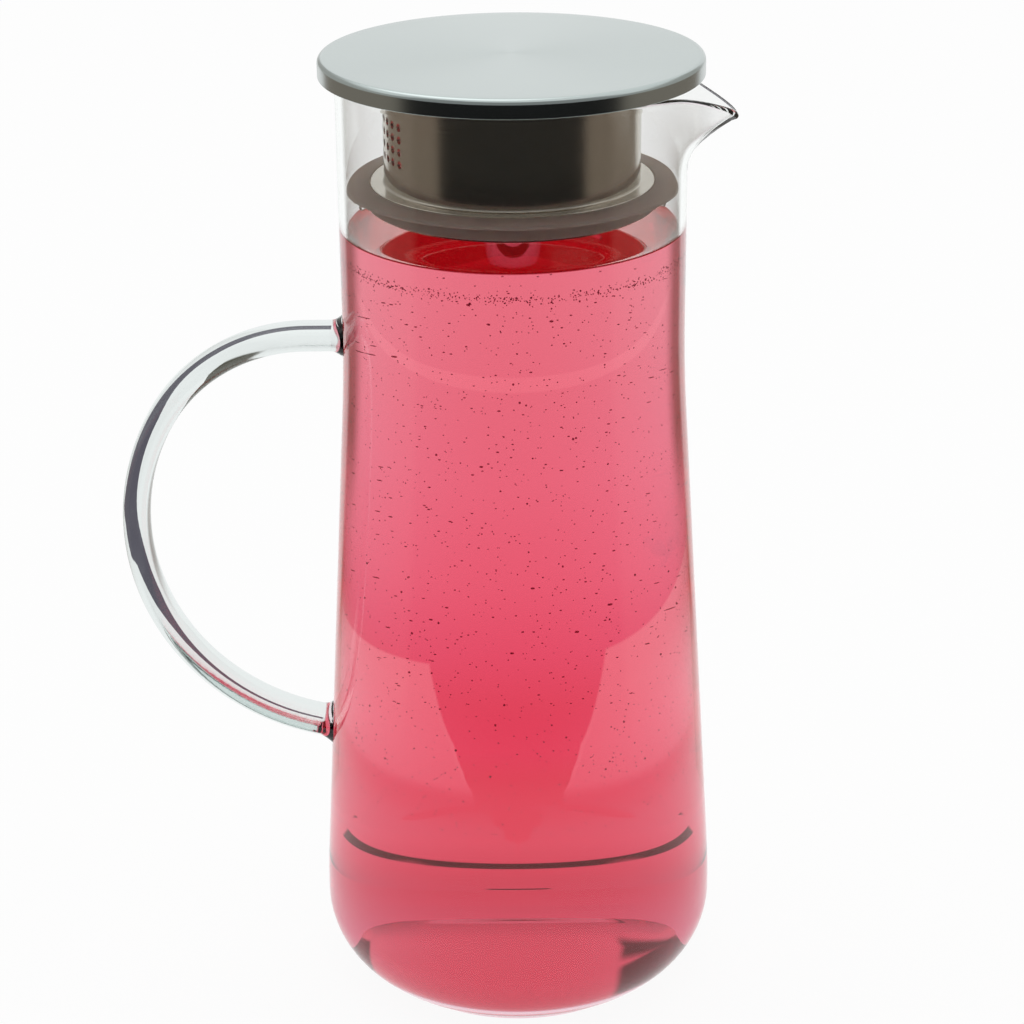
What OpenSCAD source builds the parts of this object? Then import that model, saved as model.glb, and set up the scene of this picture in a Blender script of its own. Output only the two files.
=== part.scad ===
// Tall glass jug with a loop handle, a pulled pouring lip and a lift-out strainer lid.
// The origin is on the jug's axis at the table, +Z is up, the lip points to +X and
// the handle to -X.

/* [Glass body] */
// Height of the glass rim above the table
rim_h = 250.3; // [240:0.1:290]
// Outer radius of the straight neck
neck_r = 43.95; // [40:0.05:46]
// Thickness of the blown wall
wall = 1.8; // [1.4:0.1:2.4]
// Thickness of the glass in the base
base_t = 4.5; // [3:0.1:7]
// Thickness of the fire-polished bead round the rim
bead_t = 2.1; // [1.8:0.1:2.6]
// Greatest radius, just above the heel
belly_r = 53.1; // [50:0.1:58]
// Height of the greatest radius
belly_h = 20.7; // [17:0.1:26]
// Radius of the flat foot
foot_r = 33; // [26:0.5:40]
// Height of the corner between belly and taper
taper_low_h = 27; // [27:0.5:34]
// Height of the corner between taper and neck
taper_high_h = 175.4; // [165:0.1:185]
// Half the length of the bend that rounds the lower corner
low_bend = 6.2; // [3:0.1:6.2]
// Half the length of the bend that rounds the upper corner
high_bend = 12.6; // [6:0.1:20]

/* [Pouring lip] */
// How far the tip of the lip stands out from the neck
spout_out = 14.2; // [9:0.05:16]
// How far the tip lies below the rim
spout_drop = 10.2; // [7:0.1:13]
// Height of the swelling under the tip
spout_swell_h = 14; // [10:0.5:17]
// Angle round the neck in which the outward pull fades
spout_pull_deg = 12.5; // [8:0.1:14]
// Angle round the neck in which the drop fades
spout_drop_deg = 18.5; // [12:0.5:20]
// Reach of the pulled glass to each side of the tip
spout_reach_deg = 56; // [44:1:58]

/* [Handle] */
// Height of the upper arm where it leaves the neck
handle_h = 182; // [178:0.5:190]
// Straight run of the upper arm, from the neck to the first bend
handle_run = 9.65; // [8:0.05:13]
// Bend radius of the upper part, along the middle of the rod
handle_r1 = 44.8; // [42:0.1:48]
// Angle turned by the upper bend
handle_turn1 = 60; // [50:1:70]
// Bend radius of the lower part, along the middle of the rod
handle_r2 = 59.8; // [56:0.1:63]
// Thickness of the rod, in the plane of the handle
rod_t = 7.2; // [6:0.1:9]
// Width of the rod, across the handle
rod_w = 11.8; // [10:0.1:14]
// Height of the flared welds on the wall
weld_h = 13.6; // [11:0.1:16]
// Width of the flared welds on the wall
weld_w = 14; // [12:0.1:16]
// Length over which the rod swells into a weld
weld_l = 4.5; // [3:0.1:6]

/* [Lid] */
// Radius of the steel cap
cap_r = 48; // [46:0.1:52]
// Height of the cap
cap_h = 4.7; // [4:0.1:7]
// Thickness of the lid's sheet steel
sheet = 0.8; // [0.6:0.1:1]
// Outer bend radius of the cap's edge
cap_edge_r = 1.4; // [1.1:0.1:2]
// Gap between the rim and the lid that rests on it
seat_gap = 0.2; // [0.1:0.05:0.4]
// Fit between the cap and the plate that closes it
plate_gap = 0.05; // [0.02:0.01:0.1]

/* [Strainer] */
// Outer radius of the strainer tube
tube_r = 32.2; // [28:0.1:33]
// Thickness of the tube's wall
tube_wall = 0.7; // [0.5:0.1:1]
// Radius of the flare where the tube is welded to the lid
tube_flare = 1.4; // [0.8:0.1:2]
// Depth of the tube, from the lid to the top of its flange
tube_h = 26.7; // [25:0.1:29]
// Outer radius of the flange at the foot of the tube
flange_r = 35.7; // [35:0.1:36.5]
// Overhang of the flange past the skirt below it
flange_lap = 0.7; // [0.5:0.1:1]
// Height of the skirt under the flange's upper face
skirt_h = 6.6; // [5:0.1:8]
// Inner bend radius between tube and flange
flange_bend = 0.6; // [0.3:0.1:1]
// Diameter of a strainer hole
hole_d = 2; // [1.4:0.1:2.4]
// Number of rows of holes
hole_rows = 4; // [2:1:5]
// Number of holes in a row
hole_cols = 11; // [5:1:15]
// Distance between rows
row_pitch = 3.1; // [2.8:0.1:3.6]
// Angle between neighbouring holes of a row
col_pitch_deg = 6.4; // [5:0.1:8]
// Depth of the top row below the lid
hole_top = 9.5; // [8:0.1:11]

/* [Seal] */
// Clearance between the lip of the seal and the neck
lip_gap = 0.4; // [0.3:0.05:0.6]
// Thickness of the lip
lip_t = 1.1; // [0.8:0.1:1.4]
// Droop of the lip's outer edge
lip_droop = 0.5; // [0.2:0.1:1]
// Thickness of the seal's collar outside the flange
collar_t = 0.8; // [0.6:0.1:1.2]
// Height of steel skirt that shows under the collar
skirt_show = 0.8; // [0.4:0.1:1.4]
// Running clearance between the seal and the steel
seal_gap = 0.1; // [0.05:0.01:0.1]

/* [Drink] */
// Distance from the foot of the strainer down to the drink's surface
drink_drop = 6.8; // [1:0.1:90]
// Gap between the drink and the glass
fill_gap = 0.1; // [0.05:0.05:0.2]

/* [Hidden] */
$fn = 96;

// Heights of the lid's parts
lid_z = rim_h + seat_gap;
flange_z = lid_z - tube_h;
skirt_z = flange_z - skirt_h;
skirt_r = flange_r - flange_lap;
fill_h = skirt_z - drink_drop;
// Radius of the neck's inside, and of the middle of its wall
neck_in_r = neck_r - wall;
neck_mid_r = neck_r - wall / 2;
// Half the bead, and the middle of the bead, which is flush with the wall inside
bead_r = bead_t / 2;
bead_mid_r = neck_in_r + bead_r;
// Depth that the pulled lip is let into the wall's faces, and at its buried ends
let_in = 0.05;
bury_in = 0.45;
bury_deg = 1.5;
// Height over which the wall thickens into the bead
bead_run = 1;
// Part of the wall's thickness that the handle's welds sink into
weld_sink = 0.7;
// Points along a bend, along the heel and round the bead
bend_steps = 6;
heel_steps = 14;
bead_steps = 8;
// Columns to each side of the lip's middle, rows up its height, and how they bunch
lip_cols = 12;
lip_rows = 10;
lip_bunch = 1.6;
// Shape of the pull across the lip, and of the swelling up its height
pull_power = 1.3;
swell_power = 1.8;
// Points round the rod, and places along its welds and bends
rod_sides = 24;
weld_steps = 4;
bend1_steps = 9;
bend2_steps = 16;
// Squareness of the rod's oval, where 1 is an ellipse
rod_square = 0.85;
// Directions in the handle's plane: away from the jug, and straight down
away_a = 180;
down_a = 270;

// A smooth bend from a to c that turns at corner b
function bend(a, b, c) = [for (i = [0 : bend_steps])
    let (t = i / bend_steps) (1 - t) * (1 - t) * a + 2 * t * (1 - t) * b + t * t * c];

// The point at distance d from a, on the way to b
function toward(a, b, d) = a + (b - a) * d / norm(b - a);

// The jug's profile from heel to neck, moved inwards by d and raised at the foot by up
function profile(d, up) =
    let (low = [belly_r - d, taper_low_h], high = [neck_r - d, taper_high_h])
    concat(
        [for (i = [0 : heel_steps]) let (a = 90 * (1 - i / heel_steps))
            [foot_r + (belly_r - d - foot_r) * cos(a), belly_h - (belly_h - up) * sin(a)]],
        bend(low - [0, low_bend * 0.98], low, toward(low, high, low_bend)),
        bend(toward(high, low, high_bend), high, high + [0, high_bend]));

function reversed(list) = [for (i = [len(list) - 1 : -1 : 0]) list[i]];

// Outer radius of the taper at height z
function taper_r(z) = belly_r + (neck_r - belly_r) * (z - taper_low_h) / (taper_high_h - taper_low_h);

// Half section of the blown body: outside, bead round the rim, inside
body_section = concat(
    [[0, 0]],
    profile(0, 0),
    [[neck_r, rim_h - bead_r - bead_run]],
    [for (i = [0 : bead_steps]) let (a = 180 * i / bead_steps)
        [bead_mid_r + bead_r * cos(a), rim_h - bead_r + bead_r * sin(a)]],
    reversed(profile(wall, base_t)),
    [[0, base_t]]);

// Outward pull and drop of the lip at angle a from its middle
function pull(a) = spout_out * exp(-pow(abs(a) / spout_pull_deg, pull_power));
function drop(a) = spout_drop * exp(-abs(a) / spout_drop_deg)
    * (1 - pow(min(1, abs(a) / spout_reach_deg), 4));
function lip_h(a) = rim_h - drop(a);
swell_z = rim_h - spout_drop - spout_swell_h;
cut_z = swell_z - 3;
patch_z = cut_z - 1;

// Middle of the glass at angle a and height z, as radius and height, and its slope there
function mid_r(a, z) = neck_mid_r
    + pull(a) * pow(max(0, (z - swell_z) / (lip_h(a) - swell_z)), swell_power);
function along(a, z) = let (v = [mid_r(a, z + 0.01) - mid_r(a, z - 0.01), 0.02]) v / norm(v);

// One closed loop round the lip's section at angle a: up the outside, over, down the inside
function lip_in(a, z) = abs(a) > spout_reach_deg || z < cut_z ? bury_in : let_in;
function lip_face(a, z, side) = let (v = along(a, z))
    [mid_r(a, z), z] + side * (wall / 2 - lip_in(a, z)) * [v[1], -v[0]];
function lip_loop(a) =
    let (top = lip_h(a) - bead_r,
         v = along(a, top),
         r = bead_r - lip_in(a, top),
         zs = concat(patch_z, [for (i = [0 : lip_rows])
             cut_z + (top - bead_run - cut_z) * pow(i / lip_rows, 0.8)]))
    concat(
        [for (z = zs) lip_face(a, z, 1)],
        [for (i = [0 : bead_steps]) let (b = 180 * i / bead_steps)
            [mid_r(a, top) + bead_r - wall / 2, top] + r * (cos(b) * [v[1], -v[0]] + sin(b) * v)],
        [for (z = reversed(zs)) lip_face(a, z, -1)]);

// The lip's angles, closer together near the tip, with buried ends
lip_end = spout_reach_deg + bury_deg;
lip_angles = concat(-lip_end, [for (i = [-lip_cols : lip_cols])
    spout_reach_deg * sign(i) * pow(abs(i) / lip_cols, lip_bunch)], lip_end);

// A closed solid through a row of loops that all have as many points
module skin(loops) {
    n = len(loops[0]);
    last = len(loops) - 1;
    points = [for (loop = loops) for (p = loop) p];
    sides = [for (i = [0 : last - 1]) for (j = [0 : n - 1]) let (k = (j + 1) % n)
        each [[i * n + j, i * n + k, (i + 1) * n + k],
              [i * n + j, (i + 1) * n + k, (i + 1) * n + j]]];
    polyhedron(points, concat(sides, [[for (j = [n - 1 : -1 : 0]) j]],
        [[for (j = [0 : n - 1]) last * n + j]]));
}

module pulled_lip() {
    skin([for (a = lip_angles) [for (p = lip_loop(a)) [p[0] * cos(a), p[0] * sin(a), p[1]]]]);
}

// The part of the neck that the pulled lip takes the place of
module lip_cut() {
    far = 2 * neck_r;
    translate([0, 0, cut_z])
        linear_extrude(rim_h - cut_z + 1)
            polygon([[0, 0], far * [cos(spout_reach_deg), -sin(spout_reach_deg)], [far, 0],
                far * [cos(spout_reach_deg), sin(spout_reach_deg)]]);
}

// Centres of the two bends, and the angle at which the lower arm reaches the wall
root_depth = wall * weld_sink;
bend1 = [-neck_r - handle_run, handle_h - handle_r1];
bend2 = bend1 + (handle_r1 - handle_r2) * [cos(90 + handle_turn1), sin(90 + handle_turn1)];
bend2_from = 90 + handle_turn1;
function arm(a) = bend2 + handle_r2 * [cos(a), sin(a)];
end_a = min([for (a = [200 : 0.25 : 285])
    if (arm(a)[0] > -taper_r(arm(a)[1]) + root_depth) a]);
weld_deg = weld_l / handle_r2 * 180 / PI;
wall_a = down_a - atan((belly_r - neck_r) / (taper_high_h - taper_low_h));

// Places along the rod: middle as X and Z, direction of the section's thickness, and
// distance from the nearer weld's root
rod_places = concat(
    [for (i = [0 : weld_steps]) let (d = weld_l * i / weld_steps)
        [[-neck_r + root_depth - d, handle_h], 90, d]],
    [for (i = [0 : bend1_steps]) let (a = 90 + handle_turn1 * i / bend1_steps)
        [bend1 + handle_r1 * [cos(a), sin(a)], a, weld_l]],
    [for (i = [1 : bend2_steps]) let (a = bend2_from + (end_a - weld_deg - bend2_from) * i / bend2_steps)
        [arm(a), a, weld_l]],
    [for (i = [1 : weld_steps]) let (a = end_a - weld_deg * (1 - i / weld_steps))
        [arm(a), a, (end_a - a) / weld_deg * weld_l]]);

// One oval loop round the rod, swollen towards the weld's root
function rod_loop(place) =
    let (swell = pow(1 - place[2] / weld_l, 2),
         t = rod_t + (weld_h - rod_t) * swell,
         w = rod_w + (weld_w - rod_w) * swell,
         a = place[1] > away_a ? place[1] + (wall_a - place[1]) * swell : place[1])
    [for (i = [0 : rod_sides - 1])
        let (b = -360 * i / rod_sides,
             out = t / 2 * sign(cos(b)) * pow(abs(cos(b)), rod_square),
             across = w / 2 * sign(sin(b)) * pow(abs(sin(b)), rod_square))
        [place[0][0] + out * cos(a), across, place[0][1] + out * sin(a)]];

module handle() {
    skin([for (place = rod_places) rod_loop(place)]);
}

module glass_jug() {
    color([0.86, 0.92, 0.9, 0.35]) {
        difference() {
            rotate_extrude()
                polygon(body_section);
            lip_cut();
        }
        pulled_lip();
        handle();
    }
}

module drink() {
    inner = [for (p = profile(wall + fill_gap, base_t + fill_gap)) if (p[1] < fill_h) p];
    top_r = fill_h > taper_high_h ? neck_in_r - fill_gap : taper_r(fill_h) - wall - fill_gap;
    color([0.85, 0.25, 0.36])
        rotate_extrude()
            polygon(concat([[0, base_t + fill_gap]], inner, [[top_r, fill_h], [0, fill_h]]));
}

module seal_ring() {
    bore = skirt_r + seal_gap;
    collar_r = flange_r + collar_t;
    lip_r = neck_in_r - lip_gap;
    groove_z = flange_z - sheet - seal_gap;
    edge = lip_t / 2;
    edge_z = flange_z - lip_droop - edge;
    color([0.72, 0.66, 0.62])
        rotate_extrude()
            polygon(concat(
                [[bore, skirt_z + skirt_show], [collar_r, skirt_z + skirt_show],
                 [collar_r, flange_z - 2 * lip_t], [collar_r + edge, flange_z - lip_t * 1.2]],
                [for (i = [0 : bead_steps]) let (a = 180 * i / bead_steps - 90)
                    [lip_r - edge + edge * cos(a), edge_z + edge * sin(a)]],
                [[flange_r + seal_gap, flange_z], [flange_r + seal_gap, groove_z],
                 [bore, groove_z]]));
}

module strainer_tube() {
    in_r = tube_r - tube_wall;
    under = flange_z - sheet;
    color([0.55, 0.53, 0.5])
        difference() {
            rotate_extrude()
                polygon(concat(
                    [[in_r, lid_z], [tube_r + tube_flare, lid_z]],
                    [for (i = [1 : bend_steps]) let (a = 90 * i / bend_steps)
                        [tube_r + tube_flare * (1 - sin(a)), lid_z - tube_flare * (1 - cos(a))]],
                    [for (i = [0 : bend_steps]) let (a = 90 * i / bend_steps)
                        [tube_r + flange_bend * (1 - cos(a)), flange_z + flange_bend * (1 - sin(a))]],
                    [[flange_r, flange_z], [flange_r, under], [skirt_r, under], [skirt_r, skirt_z],
                     [skirt_r - sheet, skirt_z], [skirt_r - sheet, under]],
                    [for (i = [0 : bend_steps]) let (a = 90 * (1 - i / bend_steps),
                                                     r = flange_bend + tube_wall)
                        [in_r + r * (1 - cos(a)), under + r * (1 - sin(a))]]));
            for (row = [0 : hole_rows - 1], col = [0 : hole_cols - 1])
                translate([0, 0, lid_z - hole_top - row * row_pitch])
                    rotate([0, 0, 180 + (col - (hole_cols - 1) / 2) * col_pitch_deg])
                        translate([in_r - 2, 0, 0])
                            rotate([0, 90, 0])
                                cylinder(h = tube_wall + 4, d = hole_d, $fn = 24);
        }
}

module lid_base() {
    color([0.62, 0.63, 0.62])
        translate([0, 0, lid_z])
            cylinder(h = sheet, r = cap_r - sheet - plate_gap, $fn = 180);
}

module lid_cap() {
    top = lid_z + cap_h;
    mid_z = top - cap_edge_r;
    mid_r = cap_r - cap_edge_r;
    function corner(r) = [for (i = [0 : bend_steps]) let (a = 90 * i / bend_steps)
        [mid_r + r * cos(a), mid_z + r * sin(a)]];
    color([0.75, 0.77, 0.76])
        rotate_extrude($fn = 180)
            polygon(concat(
                [[cap_r, lid_z]],
                corner(cap_edge_r),
                [[0, top], [0, top - sheet]],
                reversed(corner(cap_edge_r - sheet)),
                [[cap_r - sheet, lid_z]]));
}

glass_jug();
drink();
seal_ring();
strainer_tube();
lid_base();
lid_cap();
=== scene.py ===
"""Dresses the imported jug: blown glass with a pulled lip and a fused handle, red drink with
fine specks, silicone seal, perforated strainer and brushed steel cap, on a pale stage."""

import math
import random

import bpy
from bpy.props import FloatProperty, FloatVectorProperty, IntProperty, PointerProperty
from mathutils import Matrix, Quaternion, Vector


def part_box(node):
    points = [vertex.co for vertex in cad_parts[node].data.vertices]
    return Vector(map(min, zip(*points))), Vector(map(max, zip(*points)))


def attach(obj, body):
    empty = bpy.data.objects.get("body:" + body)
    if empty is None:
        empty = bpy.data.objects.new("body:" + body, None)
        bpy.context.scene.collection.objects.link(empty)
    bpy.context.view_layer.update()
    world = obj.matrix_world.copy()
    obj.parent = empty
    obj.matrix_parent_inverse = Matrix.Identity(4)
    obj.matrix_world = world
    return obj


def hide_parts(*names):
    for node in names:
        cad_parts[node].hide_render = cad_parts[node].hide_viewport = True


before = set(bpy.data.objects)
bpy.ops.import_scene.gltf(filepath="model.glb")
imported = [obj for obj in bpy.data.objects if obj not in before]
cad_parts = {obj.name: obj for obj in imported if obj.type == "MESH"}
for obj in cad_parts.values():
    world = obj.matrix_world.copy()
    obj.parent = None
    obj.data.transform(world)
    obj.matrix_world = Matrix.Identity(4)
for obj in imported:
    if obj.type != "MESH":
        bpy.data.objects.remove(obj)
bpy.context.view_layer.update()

bl_info = {
    "name": "Glass jug with strainer lid",
    "version": (1, 0, 0),
    "blender": (4, 5, 0),
    "location": "View3D > Sidebar > Jug",
    "description": "Builds a filled glass jug, its strainer lid and a plain stage",
    "category": "Object",
}

MM = 0.001

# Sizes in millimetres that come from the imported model
RIM_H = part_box("glass_jug")[1].z / MM
BELLY_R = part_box("glass_jug")[1].y / MM
FILL_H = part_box("drink")[1].z / MM
LID_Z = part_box("lid_cap")[0].z / MM
TOP_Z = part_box("lid_cap")[1].z / MM
CAP_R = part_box("lid_cap")[1].x / MM
FLANGE_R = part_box("strainer_tube")[1].x / MM
SKIRT_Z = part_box("strainer_tube")[0].z / MM

# Forms of the blown body, the lip and the handle, as in the part's source
NECK_R = 43.95
BELLY_H = 20.7
FOOT_R = 33.0
LOW_H = 27.0
HIGH_H = 175.4
LOW_BEND = 6.2
HIGH_BEND = 12.6
BEAD_R = 1.05
BEAD_RUN = 1.0
SPOUT_OUT = 14.2
SPOUT_DROP = 10.2
SPOUT_SWELL = 14.0
PULL_DEG = 12.5
DROP_DEG = 18.5
REACH_DEG = 56.0
HANDLE_H = 182.0
HANDLE_RUN = 9.55
ARM_R1 = 44.8
ARM_TURN = 60.0
ARM_R2 = 59.8
ROD_T = 7.2
ROD_W = 11.8
WELD_H = 13.6
WELD_W = 14.0
WELD_L = 4.5

# Finer forms of the base, here alone: the inner foot, heel and wall, the foot's corner, ring
# and hollow, and the height up to which a painted shade deepens the red of the wetted glass
INNER_FOOT_R = 36.0
INNER_HEEL_H = 19.0
INNER_WALL = 1.8
CORNER_Z = 3.4
CORNER_R = 0.5
FOOT_RING_R = 31.0
PUNT_R = 30
BASE_SHADE_H = 14.0

# The lid's sheet, the strainer's flange over its skirt, the skirt's inset, the gaps at the
# seal and the drink, and the steps round a piece of the lid
SHEET = 0.8
FLANGE_Z = SKIRT_Z + 6.6
SKIRT_IN = 0.7
SEAL_GAP = 0.4
DRINK_GAP = 0.05
LID_STEPS = 256

# How strongly glass, drink and the drink's bare surface bend light
GLASS_IOR = 1.47
DRINK_IOR = 1.333
WETTED_IOR = GLASS_IOR / DRINK_IOR
SURFACE_IOR = 1.34

# Places of the jug's kinds of glass in its list of materials, after the dry glass
# The wetted glass near the base carries a painted shade, a deeper red
WET, SHADED_BASE, CORNER, THICK = 1, 2, 3, 4

WHITE = (1.0, 1.0, 1.0, 1)

# Surfaces of glass that a ray has passed: this many at the handle's rod, more than this at
# the filled body, and more than this after the base has mirrored it inside the body
ROD_PASSES = 2.0
BODY_PASSES = 2.5
BASE_PASSES = 4.5

# Places of the camera, which was fitted to the photograph, and of the lamp, in metres
CAMERA_PLACE = (0, -0.63552, 0.40091)
CAMERA_AIM = (0, 0, 0.13218)
CAMERA_ROLL = math.radians(-0.5)
CAMERA_SHIFT = -0.0032
LAMP_PLACE = (-0.25, 0.35, 1.3)
LAMP_AIM = (0, 0, 0.15)
LAMP_WIDTH = 0.9

# The floor as glass and steel find it: from where to where, in metres from the axis or in
# radians from straight behind the jug, each change runs, and the colours of the ground
TABLE_EDGE = (0.32, 0.22)
TABLE_SIDE = (0.74, 0.6)
GROUND_FRONT = (1.92, 2.06)
WEDGE_FIRST, WEDGE_LAST = (0.6, 0.78), (1.25, 0.95)
SIDE_COLOUR = (0.27, 0.23, 0.195, 1)
FRONT_COLOUR = (0.015, 0.015, 0.015, 1)
WEDGE_COLOUR = (0.32, 0.28, 0.26, 1)

# Marks painted on the floor, found only by rays through the glass: middle, half width and soft edge
# across, or where the mark fades out
# A dark patch that only rays through the handle's rod find, painted shade in the handle
ROD_SHADE_X, ROD_SHADE_Y = (-0.071, 0.062, 0.004), (0.357, 0.098, 0.006)
ROD_SHADE_COLOUR = (0.13, 0.12, 0.15, 1)
# A pale line painted across the drink's painted shadow
PALE_LINE, PALE_LINE_END = (0.449, 0.009, 0.004), (0.45, 0.38)
# Dark lines painted across the drink's painted shadow, which show through the base
BASE_LINE, BASE_LINE_END = (0.0751, 0.0014, 0.0003), (0.0072, 0.0056)
BASE_LINE_COLOUR = (0.09, 0.02, 0.02, 1)
SHORT_LINE, SHORT_LINE_END = (0.0595, 0.0004, 0.0002), (0.004, 0.003)
SHORT_LINE_COLOUR = (0.1, 0.03, 0.03, 1)

# The surroundings, in the same radians and by the height of a direction: the white wall
# behind, where the front begins, the tops of the dim sides and the front, and a corner's end
WALL_BEHIND = (-0.29, 0.55)
WALL_FRONT = (1.75, 2.1)
SIDE_TOP = (1.31, 1.48, 0.55, 0.42)
FRONT_TOP = (0.85, 0.75)
CORNER_END = (1.4, 1.2)

# The drink's shadow, painted on the floor behind the jug, in millimetres from the axis: the colour of
# its deep middle, the radius of its far end, its half width and the colour beside it
SHADOW_DEEP = [
    (0, (0.86, 0.5, 0.6)),
    (86, (0.85, 0.36, 0.48)),
    (113, (0.85, 0.26, 0.41)),
    (128, (0.9, 0.33, 0.52)),
    (157, (0.9, 0.47, 0.6)),
    (190, (0.93, 0.57, 0.73)),
    (237, (0.96, 0.72, 0.84)),
    (320, (0.96, 0.84, 0.92)),
    (430, (0.94, 0.86, 0.9)),
    (600, (0.94, 0.92, 0.93)),
]
SHADOW_REACH = 185
SHADOW_WIDTH = [
    (80, 0), (86.4, 0.02), (87.6, 0.52), (90.7, 0.72), (97, 0.33), (99.5, 0.02), (106, 1.03),
    (116.6, 3.2), (131, 6.8), (142.5, 11), (157, 16.5), (184, 27.5), (207, 40.6), (230, 50),
]
SHADOW_PALE = [
    (0, (0.83, 0.5, 0.58)),
    (86, (0.84, 0.52, 0.62)),
    (95, (0.85, 0.4, 0.52)),
    (102, (0.86, 0.36, 0.5)),
    (108, (0.93, 0.63, 0.73)),
    (130, (0.97, 0.8, 0.87)),
    (160, (1.0, 1.0, 1.0)),
    (600, (1.0, 1.0, 1.0)),
]


class GlassSettings(bpy.types.PropertyGroup):
    wall: FloatProperty(
        name="Wall", description="Thickness of the blown wall", default=1.8 * MM, unit="LENGTH"
    )
    base: FloatProperty(
        name="Base", description="Thickness of the glass in the base", default=6.0 * MM, unit="LENGTH"
    )
    punt: FloatProperty(
        name="Punt", description="Rise of the hollow under the foot", default=0.7 * MM, unit="LENGTH"
    )
    tint: FloatVectorProperty(
        name="Tint",
        description="Faint tint of the clear glass",
        default=(0.985, 0.993, 0.989),
        size=3,
        subtype="COLOR",
    )
    # Painted shade: the deeper red that the wetted glass near the base shows
    base_shade_tint: FloatVectorProperty(
        name="Base tint",
        description="Drink's colour that the thick base picks up",
        default=(0.86, 0.6, 0.67),
        size=3,
        subtype="COLOR",
    )
    handle_tint: FloatVectorProperty(
        name="Handle tint",
        description="Tint of the handle's thick glass",
        default=(0.9, 0.925, 0.92),
        size=3,
        subtype="COLOR",
    )
    columns: IntProperty(
        name="Columns", description="Steps round the body", default=320, min=64, max=512
    )


class DrinkSettings(bpy.types.PropertyGroup):
    kept: FloatVectorProperty(
        name="Colour",
        description="Light that the drink lets through",
        default=(0.955, 0.1875, 0.333),
        size=3,
        subtype="COLOR",
    )
    strength: FloatProperty(
        name="Strength", description="Depth of the drink's colour, per metre", default=24.0
    )
    creep: FloatProperty(
        name="Meniscus",
        description="Height to which the drink climbs the glass",
        default=1.6 * MM,
        unit="LENGTH",
    )
    specks: IntProperty(
        name="Specks", description="Fine specks on the wall in each of four turned lots", default=1150
    )


class LidSettings(bpy.types.PropertyGroup):
    cap_colour: FloatVectorProperty(
        name="Cap",
        description="Colour of the brushed cap",
        default=(0.48, 0.54, 0.53),
        size=3,
        subtype="COLOR",
    )
    tube_colour: FloatVectorProperty(
        name="Strainer",
        description="Colour of the drawn steel",
        default=(0.54, 0.49, 0.43),
        size=3,
        subtype="COLOR",
    )
    seal_colour: FloatVectorProperty(
        name="Seal",
        description="Colour of the silicone",
        default=(0.93, 0.86, 0.79),
        size=3,
        subtype="COLOR",
    )
    hole: FloatProperty(
        name="Holes", description="Diameter of a strainer hole", default=2 * MM, unit="LENGTH"
    )
    rows: IntProperty(name="Rows", description="Rows of strainer holes", default=4, min=1)
    columns: IntProperty(name="Columns", description="Holes in a row", default=11, min=1)


class StageSettings(bpy.types.PropertyGroup):
    daylight: FloatProperty(
        name="Daylight", description="Strength of the soft surroundings", default=1.0
    )
    lamp: FloatProperty(
        name="Overhead lamp", description="Power of the overhead lamp, in watts", default=1.5
    )
    lens: FloatProperty(name="Lens", description="Focal length in millimetres", default=91.53)


# Shaping tools


def clear_selection():
    if bpy.context.mode != "OBJECT":
        bpy.ops.object.mode_set(mode="OBJECT")
    bpy.ops.object.select_all(action="DESELECT")


def settle(piece, smooth_deg=30):
    """Puts a finished piece's place into its mesh and smooths its soft edges."""
    clear_selection()
    piece.select_set(True)
    bpy.context.view_layer.objects.active = piece
    bpy.ops.object.transform_apply(location=True, rotation=True, scale=True)
    bpy.ops.object.shade_smooth_by_angle(angle=math.radians(smooth_deg))
    return piece


def turned(name, section, steps):
    """Draws a half section point by point, in millimetres, and spins it round the jug's axis."""
    clear_selection()
    last = Vector((section[0][0], 0, section[0][1])) * MM
    bpy.ops.mesh.primitive_plane_add(size=MM, location=last)
    piece = bpy.context.object
    piece.name = piece.data.name = name
    bpy.ops.object.transform_apply(location=True)
    bpy.ops.object.mode_set(mode="EDIT")
    bpy.ops.mesh.select_all(action="SELECT")
    bpy.ops.mesh.merge(type="CENTER")
    for r, z in section[1:]:
        point = Vector((r, 0, z)) * MM
        bpy.ops.mesh.extrude_region_move(TRANSFORM_OT_translate={"value": point - last})
        last = point
    bpy.ops.mesh.select_all(action="SELECT")
    bpy.ops.mesh.spin(steps=steps, angle=math.tau, center=(0, 0, 0), axis=(0, 0, 1))
    bpy.ops.mesh.select_all(action="SELECT")
    bpy.ops.mesh.remove_doubles(threshold=1e-6)
    bpy.ops.mesh.normals_make_consistent(inside=False)
    bpy.ops.object.mode_set(mode="OBJECT")
    return piece


def apply_modifier(piece, kind, **values):
    """Puts one modifier on a piece and applies it."""
    clear_selection()
    piece.select_set(True)
    bpy.context.view_layer.objects.active = piece
    modifier = piece.modifiers.new(kind.title(), kind)
    for key, value in values.items():
        setattr(modifier, key, value)
    bpy.ops.object.modifier_apply(modifier=modifier.name)


def join_into(piece, others):
    """Joins the others into the piece."""
    clear_selection()
    for other in [*others, piece]:
        other.select_set(True)
    bpy.context.view_layer.objects.active = piece
    bpy.ops.object.join()
    return piece


def scattered(name, sides, rings, places):
    """Copies one small ball to each place at its size, and joins the copies."""
    clear_selection()
    bpy.ops.mesh.primitive_uv_sphere_add(segments=sides, ring_count=rings, radius=1)
    first = bpy.context.object
    balls = []
    for place, size in places:
        ball = first.copy()
        ball.data = first.data.copy()
        bpy.context.collection.objects.link(ball)
        ball.location = place
        ball.scale = size
        balls.append(ball)
    bpy.data.objects.remove(first)
    piece = join_into(balls[0], balls[1:])
    piece.name = piece.data.name = name
    return settle(piece, 180)


def finish_piece(piece, body, nodes=(), materials=()):
    """Gives a piece its materials and its CAD body, and hides the CAD nodes that it stands for."""
    for material in materials:
        if material.name not in piece.data.materials:
            piece.data.materials.append(material)
    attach(piece, body)
    if nodes:
        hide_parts(*nodes)


# Curves of the blown body


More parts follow.
